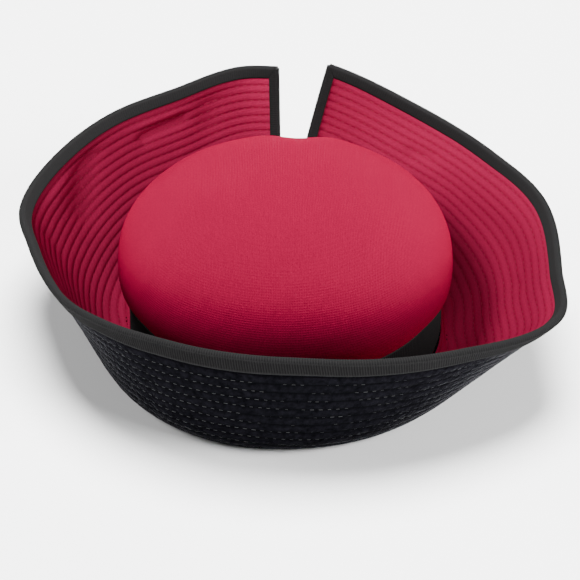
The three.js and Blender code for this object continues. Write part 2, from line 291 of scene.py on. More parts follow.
# Round area lights over the hat. Around is the angle from the camera's side (0) towards the
# right (90), size and distance are in metres and power is in watts.
LIGHTS = [
    {"name": "crown_front", "on": "crown", "around": 180, "elevation": 60, "size": 1.2, "power": 74},
    {"name": "crown_right", "on": "crown", "around": 105, "elevation": 20, "size": 1.2, "power": 38},
    {"name": "crown_left", "on": "crown", "around": -90, "elevation": 20, "size": 1.2, "power": 20},
    {"name": "crown_top", "on": "crown", "around": 0, "elevation": 85, "size": 1.2, "power": 16},
    {"name": "facing_left", "on": "facing", "around": -90, "elevation": 20, "size": 1.2, "power": 54},
    {"name": "facing_high", "on": "facing", "around": -60, "elevation": 58, "size": 0.8, "power": 38},
    {"name": "facing_back", "on": "facing", "around": 0, "elevation": 45, "size": 1.2, "power": 22},
    {"name": "outside_left", "on": "outside", "around": -95, "elevation": 32, "size": 1.2, "power": 37},
    {"name": "outside_right", "on": "outside", "around": 65, "elevation": 34, "size": 1.2, "power": 90},
    {"name": "ribbon", "on": "ribbon", "around": -90, "elevation": 82, "size": 1.2, "power": 190},
    {"name": "paper", "on": "floor", "around": 180, "elevation": 76, "size": 1.4, "power": 280},
]
LIGHT_DISTANCE = 2.2
WORLD_STRENGTH = 0.08

# Cloths. Their colour goes unevenly from dark to light with their grain, and is painted darker
# in seams and grooves as painted shade; plain is the colour without all that. Grain scales are
# waves in a metre, and depths are in millimetres.
CLOTHS = {
    "crown_cloth": {
        "plain": (0.42, 0.006, 0.053), "dark": (0.3, 0.004, 0.038),
        "light": (0.42, 0.006, 0.053), "painted_groove_shade": (0.3, 0.004, 0.04),
        "roughness": 0.9, "specular": 0.05,
        "sheen": 0.6, "sheen_roughness": 0.4, "sheen_tint": (1, 0, 0.09),
        "grain_scale": 1300, "grain_detail": 2, "grain_depth": 0.12, "weave_depth": 0.2,
    },
    "brim_cloth": {
        "plain": (0.46, 0.019, 0.084), "dark": (0.34, 0.014, 0.062),
        "light": (0.46, 0.019, 0.084), "painted_groove_shade": (0.28, 0.009, 0.045),
        "roughness": 0.9, "specular": 0.05,
        "sheen": 0.3, "sheen_roughness": 0.4, "sheen_tint": (1, 0, 0.09),
        "grain_scale": 1300, "grain_detail": 2, "grain_depth": 0.12, "weave_depth": 0.2,
    },
    "black_velvet": {
        "plain": (0.003, 0.003, 0.004), "dark": (0.0008, 0.0008, 0.0014),
        "light": (0.0062, 0.006, 0.0082), "painted_groove_shade": (0.001, 0.001, 0.0015),
        "roughness": 0.95, "specular": 0.01,
        "sheen": 0.15, "sheen_roughness": 0.22, "sheen_tint": (0.75, 0.75, 0.8),
        "grain_scale": 320, "grain_detail": 5, "grain_depth": 0.9, "weave_depth": 0,
    },
    "black_ribbon": {
        "plain": (0.009, 0.0089, 0.009), "dark": (0.0105, 0.0104, 0.0105),
        "light": (0.0145, 0.0143, 0.0145), "painted_groove_shade": (0.0035, 0.0035, 0.0036),
        "roughness": 0.8, "specular": 0.02,
        "sheen": 0.015, "sheen_roughness": 0.4, "sheen_tint": (1, 1, 1),
        "grain_scale": 1500, "grain_detail": 2, "grain_depth": 0.12, "weave_depth": 0,
    },
}
WEAVE_PITCH = 0.9

# How much stronger the uneven colour is than the grain it comes from
GRAIN_CONTRAST = 2.2

# Materials of one colour
PLAIN_MATERIALS = {
    "raspberry_thread": {"colour": (0.33, 0.011, 0.05), "roughness": 0.6, "specular": 0.4},
    "grey_thread": {"colour": (0.011, 0.011, 0.012), "roughness": 0.6, "specular": 0.4},
    "floor_paper": {"colour": (0.93, 0.93, 0.93), "roughness": 0.9, "specular": 0.1},
}

# Half side of the floor, in metres
FLOOR_HALF = 6

# Camera: a long lens, as far above the brim's level as in the photo
CAMERA_ELEVATION = 37
CAMERA_DISTANCE = 1500
CAMERA_TARGET = (2.55, 0, 28.4)
CAMERA_LENS = 164.2
CAMERA_SENSOR = 36
CAMERA_CLIP = (0.1, 30)

# Steps of turn and climb for measuring directions, a step of turn for measuring how wide the
# brim is there, and a length that counts as none
STEP = 1e-4
WIDTH_STEP = 1e-3
ROUNDING = 1e-9


def mix(a, b, share):
    return a + (b - a) * share


def smooth(share):
    share = np.clip(share, 0, 1)
    return share * share * (3 - 2 * share)


def unit(vectors):
    return vectors / np.linalg.norm(vectors, axis=-1, keepdims=True)


# One row of the unevenness at each point, the same in every run
def uneven(points, name):
    row = UNEVEN[name]
    rng = np.random.default_rng(SEED + row["seed"])
    total = np.zeros(points.shape[:-1])
    for _ in range(WAVES):
        direction = unit(rng.normal(size=3))
        length = row["wavelength"] * rng.uniform(*WAVE_LENGTH_RANGE)
        total += np.sin(points @ direction * (2 * np.pi / length) + rng.uniform(0, 2 * np.pi))
    return row["height"] * (total / WAVES ** 0.5 / WAVE_PEAK)


def foot_radius(angle):
    across = np.abs(np.cos(angle) / CROWN_HALF_WIDTH) ** CROWN_SQUARENESS
    along = np.abs(np.sin(angle) / CROWN_HALF_LENGTH) ** CROWN_SQUARENESS
    return (across + along) ** (-1 / CROWN_SQUARENESS)


def from_axis(angle, radius, height):
    return np.stack(np.broadcast_arrays(radius * np.cos(angle), radius * np.sin(angle), height), axis=-1)


RIM_SIZES = {
    name: np.array([row[name] for row in RIM], float)
    for name in ("angle", "reach", "height", "bow")
}


# Smooth curve through the rows of the rim, for each of its sizes
def rim_at(angle):
    angles = RIM_SIZES["angle"]
    last = len(angles) - 1
    end = np.clip(np.searchsorted(angles, angle, side="right"), 1, last)
    start = end - 1
    before = np.maximum(start - 1, 0)
    after = np.minimum(end + 1, last)
    width = angles[end] - angles[start]
    t = np.clip((angle - angles[start]) / width, 0, 1)

    def blend(name):
        size = RIM_SIZES[name]
        start_slope = (size[end] - size[before]) / (angles[end] - angles[before])
        end_slope = (size[after] - size[start]) / (angles[after] - angles[start])
        from_start = (2 * t ** 3 - 3 * t ** 2 + 1) * size[start] + (t - 1) ** 2 * t * width * start_slope
        from_end = (3 * t ** 2 - 2 * t ** 3) * size[end] + (t - 1) * t ** 2 * width * end_slope
        return from_start + from_end

    return blend("reach"), blend("height"), blend("bow")


# How far the foot of the brim lifts off the ground beside the slash
def slash_lift(angle):
    slash_angle = (SLASH_LEFT_FOOT_ANGLE + SLASH_RIGHT_FOOT_ANGLE - 360) / 2
    away = np.minimum(np.abs(angle - slash_angle), np.abs(angle - slash_angle - 360))
    return SLASH_LIFT * np.cos(np.clip(away / SLASH_LIFT_SPAN, 0, 1) * (np.pi / 2)) ** 2


def bezier(u, a, b, c, d):
    return (1 - u) ** 3 * a + 3 * (1 - u) ** 2 * u * b + 3 * (1 - u) * u ** 2 * c + u ** 3 * d


# Middle of the brim's thickness: how far out from the crown's foot, and how high
def brim_section(climb, rim_out, rim_height, bow):
    u = climb / SLOPE_SHARE
    slope_out = mix(PIECE_GAP + HALF_BRIM, FLAT_START, u)
    slope_height = HALF_BRIM + BRIM_FOOT_HEIGHT * (1 - u) ** 2
    flat_out = mix(FLAT_START, FLAT_END, (climb - SLOPE_SHARE) / (FLAT_SHARE - SLOPE_SHARE))
    u = (climb - FLAT_SHARE) / (1 - FLAT_SHARE)
    heel_out = FLAT_END + HEEL_REACH
    lean_out = mix(heel_out, rim_out, WALL_STRAIGHTNESS) + bow
    lean_height = mix(HALF_BRIM, rim_height, WALL_STRAIGHTNESS)
    wall_out = bezier(u, FLAT_END, heel_out, lean_out, rim_out)
    wall_height = bezier(u, HALF_BRIM, HALF_BRIM, lean_height, rim_height)
    on_slope = climb < SLOPE_SHARE
    on_flat = climb < FLAT_SHARE
    out = np.where(on_slope, slope_out, np.where(on_flat, flat_out, wall_out))
    height = np.where(on_slope, slope_height, np.where(on_flat, HALF_BRIM, wall_height))
    return out, height


# Points in the middle of the brim: turn runs from the left slash edge (0) round the back to
# the right one (1), and climb from the crown (0) up to the rim (1)
def brim_point(turn, climb):
    turn, climb = np.broadcast_arrays(np.asarray(turn, float), np.asarray(climb, float))
    rim_angle = mix(RIM[0]["angle"], RIM[-1]["angle"], turn)
    reach, rim_height, bow = rim_at(rim_angle)
    rim_out = reach - foot_radius(np.radians(rim_angle))
    out, height = brim_section(climb, rim_out, rim_height, bow)
    rise = np.where(climb < FLAT_SHARE, 0, (height - HALF_BRIM) / (rim_height - HALF_BRIM))
    left_angle = mix(SLASH_LEFT_FOOT_ANGLE, RIM[0]["angle"], rise)
    right_angle = mix(SLASH_RIGHT_FOOT_ANGLE, RIM[-1]["angle"], rise)
    angle = mix(left_angle, right_angle, turn)
    radius = foot_radius(np.radians(angle)) + out
    return from_axis(np.radians(angle), radius, height + slash_lift(angle) * (1 - climb))


# Directions at points of the brim: along the rim, up the wall, and out of the facing
def brim_axes(turn, climb):
    turn, climb = np.broadcast_arrays(np.asarray(turn, float), np.asarray(climb, float))
    before = np.clip(turn - STEP, 0, 1)
    after = np.clip(turn + STEP, 0, 1)
    along = unit(brim_point(after, climb) - brim_point(before, climb))
    up = unit(brim_point(turn, climb + STEP) - brim_point(turn, np.maximum(climb - STEP, 0)))
    normal = unit(np.cross(up, along))
    return along, up, normal


# The brim measured in millimetres down from the rim, for one set of columns
class BrimColumns:
    SAMPLES = np.concatenate([
        np.linspace(0, FLAT_SHARE, FLAT_SAMPLES, endpoint=False),
        np.linspace(FLAT_SHARE, 1, WALL_SAMPLES),
    ])

    def __init__(self, turns):
        points = brim_point(np.asarray(turns, float)[:, None], self.SAMPLES[None, ::-1])
        pieces = np.linalg.norm(np.diff(points, axis=1), axis=-1)
        self.drops = np.concatenate([np.zeros((len(pieces), 1)), np.cumsum(pieces, axis=1)], axis=1)
        self.lengths = self.drops[:, -1]

    # climb at the given drop below the rim, one row of drops for each column
    def climb_at(self, drops):
        falling = self.SAMPLES[::-1]
        return np.stack([np.interp(row, known, falling) for row, known in zip(drops, self.drops)])


# Turns along the rim, and how far each is from the left tip of the slash
def rim_path():
    turns = np.linspace(0, 1, RIM_SAMPLES)
    steps = np.linalg.norm(np.diff(brim_point(turns, 1.0), axis=0), axis=-1)
    return turns, np.concatenate([[0], np.cumsum(steps)])


# Turns of columns spaced evenly along the rim, and how far each is from the left tip
def even_turns(spacing):
    turns, path = rim_path()
    count = int(round(path[-1] / spacing))
    distances = np.linspace(0, path[-1], count + 1)
    return np.interp(distances, path, turns), distances


# Distance between the columns of the brim's grid, along the rim
def brim_spacing():
    return rim_path()[1][-1] / BRIM_COLUMNS


# Where the crown's axis stands in the row frame, in metres
def crown_axis():
    low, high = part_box("crown")
    return (low[0] + high[0]) / 2, (low[1] + high[1]) / 2


# A piece from points in millimetres about the crown's axis
def make_mesh(name, points, faces, uvs=None):
    mesh = bpy.data.meshes.new(name)
    mesh.from_pydata((points * MM + np.array([*crown_axis(), 0])).tolist(), [], faces)
    mesh.validate()
    if uvs is not None:
        layer = mesh.uv_layers.new(name="cloth")
        corners = np.zeros(len(mesh.loops), np.int32)
        mesh.loops.foreach_get("vertex_index", corners)
        layer.data.foreach_set("uv", (uvs[corners] * MM).astype(np.float32).ravel())
    mesh.shade_smooth()
    piece = bpy.data.objects.new(name, mesh)
    bpy.context.scene.collection.objects.link(piece)
    return piece


def place(piece, node, material):
    piece.data.materials.append(material)
    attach(piece, "root")
    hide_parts(node)


# Share of a seam or a groove at each point, from 0 outside it to 1 in its deepest line, stored on the mesh
# for the shade painted into the cloth's colour there
def mark_painted_groove_shade(piece, shares):
    layer = piece.data.attributes.new("seam", "FLOAT", "POINT")
    layer.data.foreach_set("value", shares.astype(np.float32))


def without_doubles(corners):
    return [c for k, c in enumerate(corners) if c != corners[k - 1]]


# Faces between rows and columns of a grid of point numbers
def grid_faces(ids, turned):
    faces = []
    for a, b in zip(ids[:-1], ids[1:]):
        for j in range(len(a) - 1):
            corners = without_doubles([a[j], b[j], b[j + 1], a[j + 1]])
            if len(set(corners)) > 2:
                faces.append(corners[::-1] if turned else corners)
    return faces


# Faces that join a fine edge to a coarse one, whose points lie at the given places of the fine
def edge_faces(fine, coarse, places, turned):
    faces = []
    for k in range(len(places) - 1):
        run = fine[places[k]:places[k + 1] + 1]
        corners = without_doubles([*run, coarse[k + 1], coarse[k]])
        if len(set(run)) > 1:
            faces.append(corners[::-1] if turned else corners)
    return faces


# CROWN


# Rows of the crown from its foot to its top: how far out of the foot's line, how much of the
# full width is left, and how high
def crown_rows():
    wall = np.linspace(0, 1, CROWN_WALL_ROWS + 1)[:-1]
    swell = np.linspace(0, 1, CROWN_SWELL_ROWS + 1)[:-1]
    dome = np.linspace(0, 1, CROWN_DOME_ROWS + 1) * (np.pi / 2)
    out = np.concatenate([
        np.zeros(len(wall)),
        CROWN_SWELL * (1 - (1 - swell) ** SWELL_ROUNDNESS),
        np.full(len(dome), CROWN_SWELL, float),
    ])
    share = np.concatenate([
        np.ones(len(wall) + len(swell)),
        np.clip(np.cos(dome), 0, 1) ** (2 / DOME_FULLNESS),
    ])
    height = np.concatenate([
        mix(CROWN_FOOT_HEIGHT, SWELL_START_HEIGHT, wall),
        mix(SWELL_START_HEIGHT, WIDEST_HEIGHT, swell),
        mix(WIDEST_HEIGHT, CROWN_HEIGHT, np.sin(dome) ** (2 / DOME_FULLNESS)),
    ])
    share[-1] = 0
    return out, share, height


# From 0 at the front and sides to 1 at the back
def back_share(angles):
    return smooth((-np.sin(angles) - BACK_START) / BACK_SPREAD)


# How much further in the crown lies where its swell starts later
def back_tuck(angles, height):
    share = back_share(angles)

    def swell(start, widest):
        rise = np.clip((height - start) / (widest - start), 0, 1)
        return CROWN_SWELL * (1 - (1 - rise) ** SWELL_ROUNDNESS)

    start = SWELL_START_HEIGHT + BACK_RISE * share
    widest = WIDEST_HEIGHT + BACK_WIDEST_RISE * share
    return swell(SWELL_START_HEIGHT, WIDEST_HEIGHT) - swell(start, widest)


def crown_dents(points):
    on_top = np.clip((points[..., 2] - WIDEST_HEIGHT) / DENT_FADE_HEIGHT, 0, 1)
    depth = 0
    for dent in CROWN_DENTS:
        away = np.hypot(points[..., 0] - dent["x"], points[..., 1] - dent["y"]) / dent["spread"]
        depth = depth + dent["depth"] * np.exp(-away ** 2)
    return on_top * depth


# Outer and inner surface of the crown, a column of points from foot to top for each angle, and
# where the outer ones lie on the flat cloth
def crown_surfaces():
    out, share, height = crown_rows()
    angles = np.arange(CROWN_COLUMNS)[:, None] * (2 * np.pi / CROWN_COLUMNS)
    radius = (foot_radius(angles) + out - back_tuck(angles, height)) * share
    reach = (CROWN_HALF_WIDTH + out) * share
    normal = unit(np.stack([np.gradient(height), -np.gradient(reach)], axis=-1))
    normal[-1] = (0, 1)
    across, up = normal.T
    outside = from_axis(angles, radius, height)
    inside = from_axis(angles, radius - CROWN_CLOTH * across, height - CROWN_CLOTH * up)
    inside[:, 0, 2] = CROWN_FOOT_HEIGHT
    for side in (outside, inside):
        side[..., 2] -= crown_dents(side)
    grown = smooth((height - SWELL_START_HEIGHT) / UNEVEN_FADE_HEIGHT)
    swell = (uneven(outside, "crown_broad") + uneven(outside, "crown_fine")) * grown
    outside = outside + from_axis(angles, across, up) * swell[..., None]
    steps = np.hypot(np.diff(reach), np.diff(height))
    path = np.concatenate([np.cumsum(steps[::-1])[::-1], [0]])
    return outside, inside, from_axis(angles, path, 0)[..., :2]


def build_crown(material):
    outside, inside, uv = crown_surfaces()
    top = outside.shape[1] - 1
    kept = np.unique(np.append(np.arange(0, top, CROWN_INSIDE_STEP), top - 1))
    tips = np.array([outside[0, top], inside[0, top]])
    points = [outside[:, :top].reshape(-1, 3), inside[:, kept].reshape(-1, 3), tips]
    uvs = [uv[:, :top].reshape(-1, 2), uv[:, kept].reshape(-1, 2), uv[:2, top]]
    outer = np.arange(CROWN_COLUMNS * top).reshape(CROWN_COLUMNS, top)
    inner = outer.size + np.arange(CROWN_COLUMNS * len(kept)).reshape(CROWN_COLUMNS, len(kept))
    outer_tip = outer.size + inner.size
    inner_tip = outer_tip + 1
    outer = np.vstack([outer, outer[:1]])
    inner = np.vstack([inner, inner[:1]])
    faces = grid_faces(outer.tolist(), False) + grid_faces(inner.tolist(), True)
    for k in range(CROWN_COLUMNS):
        faces.append([outer[k, -1], outer[k + 1, -1], outer_tip])
        faces.append([inner[k + 1, -1], inner[k, -1], inner_tip])
        faces.append([outer[k + 1, 0], outer[k, 0], inner[k, 0], inner[k + 1, 0]])
    crown = make_mesh("crown_cloth", np.concatenate(points), faces, np.concatenate(uvs))
    place(crown, "crown", material)


# How deep a ribbon sinks between its ribs; phase goes round once for each rib
def rib_depth(phase):
    return RIB_DEPTH * 0.5 * (1 - np.cos(phase))


# Closed loops of points swept side by side, open or joined round
def loops_mesh(name, loops, joined, groove_shade_share):
    columns, size = loops.shape[:2]
    ids = np.arange(columns * size).reshape(columns, size)
    around = np.hstack([ids, ids[:, :1]])
    if joined:
        around = np.vstack([around, around[:1]])
    faces = grid_faces(around.tolist(), False)
    if not joined:
        faces.append(ids[0].tolist())
        faces.append(ids[-1][::-1].tolist())
    a, b, c = (loops.reshape(-1, 3)[[face[k] for face in faces]] for k in range(3))
    volume = np.einsum("ij,ij->", a, np.cross(b, c))
    if volume < 0:
        faces = [face[::-1] for face in faces]
    piece = make_mesh(name, loops.reshape(-1, 3), faces)
    # The share in each groove between ribs, which darkens the colour there as painted shade
    mark_painted_groove_shade(piece, groove_shade_share.ravel())
    return piece


def build_band(material):
    columns = BAND_RIBS * SAMPLES_PER_RIB
    angles = np.arange(columns) * (2 * np.pi / columns)
    rib = rib_depth(angles * BAND_RIBS)
    inner = foot_radius(angles) + PIECE_GAP
    outer = inner + BAND_CLOTH
    middle = from_axis(angles, inner, BAND_MIDDLE)
    bottom = BAND_BOTTOM + uneven(middle, "band_bottom")
    top = BAND_TOP + BACK_RISE * back_share(angles) + uneven(middle, "band_top")
    ribbed = (bottom + BAND_RIB_MARGIN, (bottom + top) / 2, top - BAND_RIB_MARGIN)
    section = [(outer - row["inset"], bottom + row["from_edge"]) for row in BAND_EDGE]
    section += [(outer - rib, height) for height in ribbed]
    section += [(outer - row["inset"], top - row["from_edge"]) for row in BAND_EDGE[::-1]]
    section += [(inner, top), (inner, bottom)]
    loops = np.stack([from_axis(angles, radius, height) for radius, height in section], axis=1)
    # Painted shade in the grooves between the band's ribs
    groove_shade_share = np.zeros(loops.shape[:2])
    groove_shade_share[:, len(BAND_EDGE):len(BAND_EDGE) + len(ribbed)] = rib[:, None] / RIB_DEPTH
    place(loops_mesh("band_ribbon", loops, True, groove_shade_share), "crown_band", material)


# BRIM


# Smooth change of the distance between the rows of stitching round the brim
def row_pitch(turns):
    known = np.array([row["turn"] for row in ROW_PITCHES])
    pitches = np.array([row["pitch"] for row in ROW_PITCHES])
    start = np.clip(np.searchsorted(known, turns, side="right") - 1, 0, len(known) - 2)
    share = (turns - known[start]) / (known[start + 1] - known[start])
    return mix(pitches[start], pitches[start + 1], smooth(share))


# How near a point is to a row of stitching, from 0 on top of a puff to 1 in the row
def seam_at(phase):
    puff = np.abs(np.sin(np.pi * phase)) ** PUFF_ROUNDNESS
    return smooth(phase + 1) * (1 - puff)


# How far the cloth sinks from the top of a puff; phase counts rows of stitching from the first
def sink_at(phase, along, puff_depth):
    seam = seam_at(phase)
    hole = 0.5 + 0.5 * np.cos(2 * np.pi * along / STITCH_PITCH)
    return puff_depth * seam + PUCKER * hole * (smooth(phase + 1) - seam)


# How far the brim is pressed in at each point of its middle, by dents spread wider or not
def brim_dents(points, drops, spread):
    depth = np.zeros(points.shape[:-1])
    for dent in BRIM_DENTS:
        columns = BrimColumns(dent["turns"])
        climb = columns.climb_at(np.array(dent["drops"], float)[:, None])[:, 0]
        start, end = brim_point(np.array(dent["turns"]), climb)
        line = end - start
        share = np.clip((points - start) @ line / (line @ line), 0, 1)
        away = np.linalg.norm(points - start - share[..., None] * line, axis=-1)
        depth += dent["depth"] * np.exp(-(away / dent["width"] / spread) ** 2)
    return depth * smooth((drops - DENTS_START) / FADE_LENGTH)


# Columns of points in the middle of the brim, from the rim down, that both its cloths follow
def brim_grid():
    turns, _ = even_turns(brim_spacing())
    columns = BrimColumns(turns)
    pitch = row_pitch(turns)[:, None]
    lengths = columns.lengths[:, None]
    steps = STEPS_TO_FIRST_ROW + np.ceil((columns.lengths - ROW_START) / pitch[:, 0] * STEPS_PER_ROW)
    rows = np.arange(int(steps.max()) + 1)
    phase = (rows - STEPS_TO_FIRST_ROW) / STEPS_PER_ROW
    above_rows = np.minimum(rows / STEPS_TO_FIRST_ROW, 1) * ROW_START
    drops = np.minimum(above_rows + np.maximum(phase, 0) * pitch, lengths)
    climb = columns.climb_at(drops)
    climb[drops >= lengths - ROUNDING] = 0
    middle = brim_point(turns[:, None], climb)
    normal = brim_axes(turns[:, None], climb)[2]
    facing_dents = np.minimum(brim_dents(middle, drops, 1) * FACING_DENT_SHARE, FACING_DENT_LIMIT)
    middle = middle - normal * (brim_dents(middle, drops, WHOLE_DENT_SPREAD) * WHOLE_DENT_SHARE)[..., None]
    sideways = np.linalg.norm(np.diff(middle, axis=0), axis=-1)
    along = np.concatenate([np.zeros((1, len(rows))), np.cumsum(sideways, axis=0)])
    return {
        "drops": drops, "last": steps.astype(int), "middle": middle, "normal": normal,
        "along": along, "phase": phase[None, :], "facing_dents": facing_dents,
    }


# Outer surface of one of the brim's cloths
def brim_relief(grid, side):
    row = BRIM_SIDES[side]
    middle = grid["middle"]
    depth = row["top"] - sink_at(grid["phase"], grid["along"], row["puff_depth"])
    if side == "facing":
        depth = np.maximum(depth - grid["facing_dents"], FACING_LEAST)
    wander = uneven(middle, side + "_broad") + uneven(middle, side + "_fine")
    free = smooth((grid["drops"] - UNEVEN_START) / FADE_LENGTH)
    return middle + grid["normal"] * (row["sign"] * (depth + wander * free))[..., None]


# One of the brim's cloths. Its outer surface is fine and its hidden back coarse, and columns
# shorter than the longest one end in a single point that their last rows share.
def build_brim_side(name, grid, side, node, material):
    front = brim_relief(grid, side)
    front[..., 2] = np.maximum(front[..., 2], FLOOR_GAP)
    back = grid["middle"] + grid["normal"] * (BRIM_SIDES[side]["sign"] * PIECE_GAP / 2)
    count, rows = front.shape[:2]
    own_row = np.minimum(np.arange(rows)[None, :], grid["last"][:, None])
    ids = np.arange(count)[:, None] * rows + own_row
    coarse_columns = np.unique(np.append(np.arange(0, count, BACK_COLUMN_STEP), count - 1))
    coarse_rows = np.unique(np.append(np.arange(0, rows, BACK_ROW_STEP), rows - 1))
    back_ids = ids[np.ix_(coarse_columns, coarse_rows)] + count * rows

    faces = grid_faces(ids.tolist(), False) + grid_faces(back_ids.tolist(), True)
    faces += edge_faces(ids[:, 0].tolist(), back_ids[:, 0].tolist(), coarse_columns, True)
    faces += edge_faces(ids[:, -1].tolist(), back_ids[:, -1].tolist(), coarse_columns, False)
    faces += edge_faces(ids[0].tolist(), back_ids[0].tolist(), coarse_rows, False)
    faces += edge_faces(ids[-1].tolist(), back_ids[-1].tolist(), coarse_rows, True)
    if side == "underside":
        faces = [face[::-1] for face in faces]

    points = np.concatenate([front.reshape(-1, 3), back.reshape(-1, 3)])
    angle = np.arctan2(grid["middle"][..., 1], grid["middle"][..., 0])
    flat_radius = foot_radius(angle) + grid["drops"].max(axis=1, keepdims=True) - grid["drops"]
    uv = from_axis(angle, flat_radius, 0)[..., :2].reshape(-1, 2)
    used = np.unique(np.concatenate([np.asarray(face) for face in faces]))
    renumber = np.full(len(points), -1)
    renumber[used] = np.arange(len(used))
    faces = [renumber[face].tolist() for face in faces]
    piece = make_mesh(name, points[used], faces, np.concatenate([uv, uv])[used])
    # Painted shade along the rows of stitching, none on the hidden back
    seam = np.broadcast_to(seam_at(grid["phase"]), grid["drops"].shape).ravel()
    mark_painted_groove_shade(piece, np.concatenate([seam, np.zeros(seam.size)])[used])
    place(piece, node, material)


# STITCHES


# Small rounded stitches, each along four points of its own
def stitch_mesh(name, paths, radius):
    fatness = np.array([row["fatness"] for row in STITCH_POINTS]) * radius
    along = unit(np.gradient(paths, axis=1))
    up = unit(np.cross(along, np.array(SLANT)))
    across = np.cross(along, up)
    turns = np.arange(STITCH_SIDES) * (2 * np.pi / STITCH_SIDES)
    ring = up[:, :, None] * np.cos(turns)[:, None] + across[:, :, None] * np.sin(turns)[:, None]
    points = paths[:, :, None] + ring * fatness[None, :, None, None]
    points[..., 2] = np.maximum(points[..., 2], FLOOR_GAP)
    ids = np.arange(points[..., 0].size).reshape(points.shape[:3])
    faces = []
    for stitch in ids.tolist():
        for a, b in zip(stitch[:-1], stitch[1:]):
            for k in range(STITCH_SIDES):
                faces.append([a[k - 1], a[k], b[k], b[k - 1]])
        faces.append(stitch[0][::-1])
        faces.append(stitch[-1])
    return make_mesh(name, points.reshape(-1, 3), faces)


# Stitch paths along one row of points, with the stitches lying in the cloth at both ends, and
# drawn deeper into it here and there
def stitches_on(line, outward, side, rng):
    row = BRIM_SIDES[side]
    pieces = np.linalg.norm(np.diff(line, axis=0), axis=-1)
    known = np.concatenate([[0], np.cumsum(pieces)])
    count = int(known[-1] // STITCH_PITCH)
    if count < 1:
        return np.zeros((0, len(STITCH_POINTS), 3))
    middles = (np.arange(count) + 0.5) * STITCH_PITCH + rng.normal(0, STITCH_WANDER, count)
    length = STITCH_LENGTH * rng.uniform(*STITCH_LENGTH_RANGE, count)
    shares = np.array([point["along"] for point in STITCH_POINTS])
    places = middles[:, None] + length[:, None] * shares
    places = np.clip(places, ROW_END, known[-1] - ROW_END)

    def at(values):
        return np.stack([np.interp(places, known, values[:, k]) for k in range(3)], axis=-1)

    paths = at(line)
    shown = np.exp(-((paths[:, 1:2, 0] - SHOWN_STITCHES_X) / SHOWN_STITCHES_SPREAD) ** 2)
    sunk = smooth(1 - shown + uneven(paths[:, 1:2], "stitches"))
    sunk = sunk + rng.uniform(0, STITCH_VARIETY, (count, 1))
    lifts = np.array([point["lift"] for point in STITCH_POINTS])
    lift = row["stitch_radius"] * STITCH_RISE_SHARE + lifts - sunk * row["drawn_in"]
    return paths + at(outward) * lift[..., None]


def build_stitches(grid, side, node, material):
    row = BRIM_SIDES[side]
    surface = brim_relief(grid, side)
    rng = np.random.default_rng(SEED + STITCH_SEED + row["sign"])
    paths = []
    inset = int(SLASH_INSET / brim_spacing())
    first_seam = STEPS_TO_FIRST_ROW + row["covered_rows"] * STEPS_PER_ROW
    for seam in range(first_seam, surface.shape[1], STEPS_PER_ROW):
        present = grid["last"] > seam + FOOT_STEPS
        present[:inset] = False
        present[-inset:] = False
        edges = np.flatnonzero(np.diff(np.concatenate([[0], present.astype(int), [0]])))
        for start, stop in zip(edges[::2], edges[1::2]):
            if stop - start > SHORTEST_ROW:
                line = surface[start:stop, seam]
                outward = grid["normal"][start:stop, seam] * row["sign"]
                paths.append(stitches_on(line, outward, side, rng))
    piece = stitch_mesh(f"stitches_{side}", np.concatenate(paths), row["stitch_radius"])
    place(piece, node, material)


# BINDING


# Width of the ribbon on the facing, which is narrower at the tips of the slash
def facing_leg(turn):
    return FACING_LEG + FACING_LEG_GROWTH * np.sin(np.pi * np.clip(turn, 0, 1)) ** 0.5


# Loops of points round the ribbon's section, and the share of a groove at each point, which
# darkens the colour there as painted shade. The leg on the facing comes first, then the fold,
# the leg on the underside and the hidden side.
def binding_loops(points_at, outward, legs, rib):
    facing_width, underside_width = legs
    no_rib = np.zeros(len(rib))
    loop = []

    def add_leg(width, sign, rib_share, rows):
        for row in rows:
            point, normal = points_at(row["share"] * width)
            depth = rib * (RIBBED_START < row["share"] < RIBBED_END) * rib_share
            height = sign * (RIBBON_TOP + row["height"] - depth)
            loop.append((point + normal * height[:, None], depth))

    def add_hidden_side(width, sign, shares):
        for share in shares:
            point, normal = points_at(share * width)
            height = HIDDEN_EDGE if share == 1 else RIBBON_TOP - RIBBON_THICKNESS
            loop.append((point + normal * (sign * height), no_rib))

    add_leg(facing_width, 1, FACING_RIB_SHARE, LEG_POINTS)
    edge, normal = points_at(no_rib)
    for angle in np.radians(FOLD_ANGLES):
        depth = rib * mix(FACING_RIB_SHARE, 1, angle / np.pi)
        out = (RIBBON_NOSE - depth) * np.sin(angle)
        over = (RIBBON_TOP - depth) * np.cos(angle)
        loop.append((edge + outward * out[:, None] + normal * over[:, None], depth))
    add_leg(underside_width, -1, 1, LEG_POINTS[::-1])
    add_hidden_side(underside_width, -1, (1, 0.5, 0))
    add_hidden_side(facing_width, 1, (0, 0.5, 1))
    points, depths = (np.stack(side, axis=1) for side in zip(*loop))
    return points, depths / RIB_DEPTH


def build_rim_binding(material):
    turns, along = even_turns(RIB_PITCH / SAMPLES_PER_RIB)
    columns = BrimColumns(turns)
    rim = brim_point(turns, 1.0)
    outward = brim_axes(turns, 1.0)[1]
    # At both tips the ribbon narrows to meet the one over the slash edge in a mitre
    corner = np.clip(np.minimum(along, along[-1] - along) / SLASH_LEG, 0, 1)
    facing = (facing_leg(turns) + uneven(rim, "facing_leg")) * corner
    underside = (UNDERSIDE_LEG + uneven(rim, "underside_leg")) * corner
    legs = (np.maximum(facing, LEAST_LEG), np.maximum(underside, LEAST_LEG))
    rib = rib_depth(2 * np.pi * along / RIB_PITCH)

    def points_at(widths):
        climb = columns.climb_at(widths[:, None])[:, 0]
        return brim_point(turns, climb), brim_axes(turns, climb)[2]

    loops, groove_shade_share = binding_loops(points_at, outward, legs, rib)
    place(loops_mesh("rim_ribbon", loops, False, groove_shade_share), "rim_binding", material)


